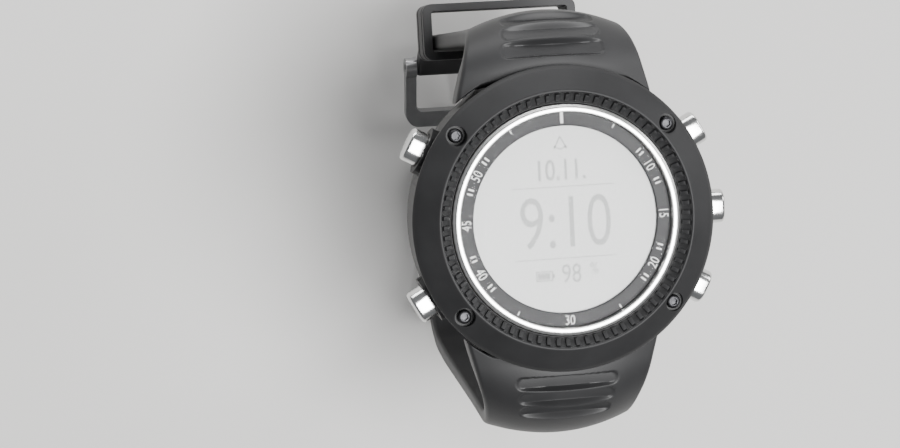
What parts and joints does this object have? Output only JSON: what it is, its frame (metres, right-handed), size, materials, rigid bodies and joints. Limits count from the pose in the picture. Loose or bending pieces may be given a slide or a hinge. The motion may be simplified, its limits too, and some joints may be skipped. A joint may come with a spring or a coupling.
{
  "type": "gps running watch",
  "caption": "Round digital sports watch with a raised notched bezel, side buttons and a ventilated buckle strap, unfastened.",
  "frame": {"origin": "centre of the case back's outer flat face", "axes": "+Z out through the display, +Y towards twelve o'clock, +X towards three o'clock"},
  "size_m": [0.0536, 0.0725, 0.0796],
  "materials": {
    "bezel": "moulded glass-filled nylon, fine grain",
    "steel_screw": "blackened steel",
    "lens": "polished mineral glass",
    "lens_ring": "satin steel ring",
    "seal": "silicone seal",
    "dial_ring": "printed ring",
    "lcd_panel": "reflective liquid crystal display",
    "backlight": "clear light guide",
    "module_frame": "white moulded carrier",
    "case": "moulded glass-filled nylon",
    "back_cover": "blasted stainless steel",
    "contact": "gold-plated contacts",
    "board": "solder-masked laminate",
    "chips": "moulded chip packages",
    "switch": "stamped switch cans",
    "battery": "pouch cell foil",
    "antenna": "fired ceramic patch",
    "buzzer": "piezo disc",
    "flex": "polyimide ribbon",
    "button": "polished stainless steel",
    "clip": "spring steel",
    "spring": "spring wire",
    "pin": "stainless pin",
    "strap": "moulded elastomer, satin",
    "buckle": "blasted stainless steel",
    "keeper": "moulded elastomer, satin"
  },
  "bodies": {
    "head": {"bezel": "bezel", "bezel_screws": "steel_screw", "lens": "lens", "lens_ring": "lens_ring", "lens_gasket": "seal", "dial_ring": "dial_ring", "lcd_panel": "lcd_panel", "backlight": "backlight", "module_frame": "module_frame", "middle_case": "case", "back_cover": "back_cover", "back_gasket": "seal", "back_screws": "steel_screw", "charge_contacts": "contact", "main_board": "board", "board_chips": "chips", "side_switches": "switch", "battery": "battery", "gps_antenna": "antenna", "buzzer": "buzzer", "display_flex": "flex", "button_seals": "seal", "strap_pins": "pin", "start_spring": "spring", "next_spring": "spring", "light_spring": "spring", "back_spring": "spring", "view_spring": "spring"},
    "start_button": {"start_button": "button", "start_clip": "clip"},
    "next_button": {"next_button": "button", "next_clip": "clip"},
    "light_button": {"light_button": "button", "light_clip": "clip"},
    "back_button": {"back_button": "button", "back_clip": "clip"},
    "view_button": {"view_button": "button", "view_clip": "clip"},
    "strap_buckle_side": {"strap_buckle_side": "strap"},
    "strap_hole_side": {"strap_hole_side": "strap"},
    "buckle": {"buckle_frame": "buckle", "buckle_bar": "pin"},
    "tongue": {"buckle_tongue": "buckle"},
    "keeper": {"keeper": "keeper"}
  },
  "joints": [
    {"name": "start_press", "type": "slide", "parent": "head", "child": "start_button", "axis": [-0.8746, -0.4848, 0], "range_m": [0, 0.0008], "stiffness_N_per_m": 1500, "springref_m": -0.001, "deforming": ["start_spring"]},
    {"name": "next_press", "type": "slide", "parent": "head", "child": "next_button", "axis": [-1, 0, 0], "range_m": [0, 0.0008], "stiffness_N_per_m": 1500, "springref_m": -0.001, "deforming": ["next_spring"]},
    {"name": "light_press", "type": "slide", "parent": "head", "child": "light_button", "axis": [-0.8746, 0.4848, 0], "range_m": [0, 0.0008], "stiffness_N_per_m": 1500, "springref_m": -0.001, "deforming": ["light_spring"]},
    {"name": "back_press", "type": "slide", "parent": "head", "child": "back_button", "axis": [0.8746, -0.4848, 0], "range_m": [0, 0.0008], "stiffness_N_per_m": 1500, "springref_m": -0.001, "deforming": ["back_spring"]},
    {"name": "view_press", "type": "slide", "parent": "head", "child": "view_button", "axis": [0.8746, 0.4848, 0], "range_m": [0, 0.0008], "stiffness_N_per_m": 1500, "springref_m": -0.001, "deforming": ["view_spring"]},
    {"name": "strap_12_swing", "type": "hinge", "parent": "head", "child": "strap_buckle_side", "pos_m": [0, 0.027, 0.00456], "axis": [1, 0, 0], "range_deg": [0, 45]},
    {"name": "strap_6_swing", "type": "hinge", "parent": "head", "child": "strap_hole_side", "pos_m": [0, -0.027, 0.00456], "axis": [-1, 0, 0], "range_deg": [0, 45]},
    {"name": "buckle_turn", "type": "hinge", "parent": "strap_buckle_side", "child": "buckle", "pos_m": [0, 0.02305, -0.05894], "axis": [1, 0, 0], "range_deg": [-40, 55]},
    {"name": "tongue_turn", "type": "hinge", "parent": "buckle", "child": "tongue", "pos_m": [0, 0.02305, -0.05894], "axis": [1, 0, 0], "range_deg": [0, 60]},
    {"name": "keeper_slide", "type": "slide", "parent": "strap_buckle_side", "child": "keeper", "axis": [0, -0.0523, -0.9986], "range_m": [-0.015, 0.005]}
  ]
}
